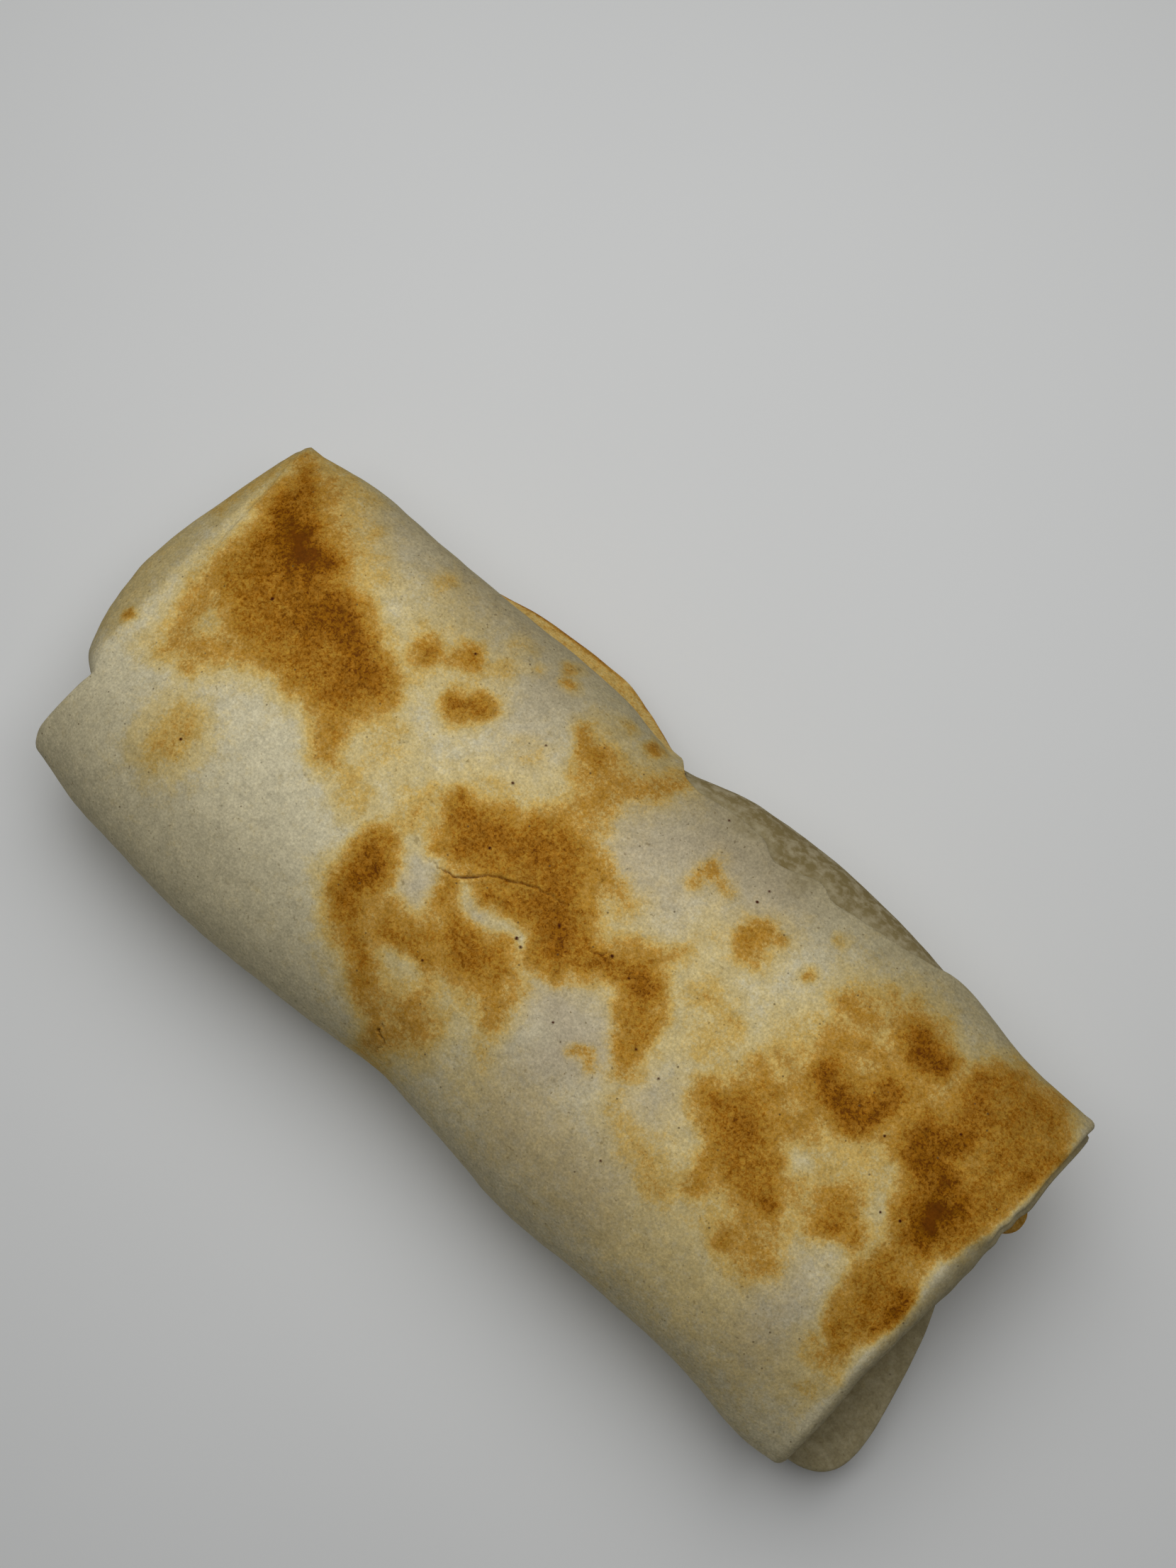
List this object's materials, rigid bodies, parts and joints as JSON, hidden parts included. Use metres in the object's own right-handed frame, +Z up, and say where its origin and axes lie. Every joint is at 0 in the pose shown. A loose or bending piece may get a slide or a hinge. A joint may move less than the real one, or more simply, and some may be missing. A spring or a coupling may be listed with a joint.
{
  "type": "chicken wrap",
  "caption": "Griddled flour tortilla rolled round a chicken filling, ends tucked in, lying on its flat underside with its free edge at the back.",
  "frame": {"origin": "middle of the bounding box's base, on the surface the wrap lies on", "axes": "+X along the roll towards the end with the loose tongue, +Y towards the side where the tortilla's free edge lies, +Z up"},
  "size_m": [0.1816, 0.0794, 0.0371],
  "materials": {
    "tortilla": "dry griddled flour tortilla, cream with toasted patches"
  },
  "bodies": {
    "root": {"tortilla_wrap": "tortilla"}
  },
  "joints": []
}
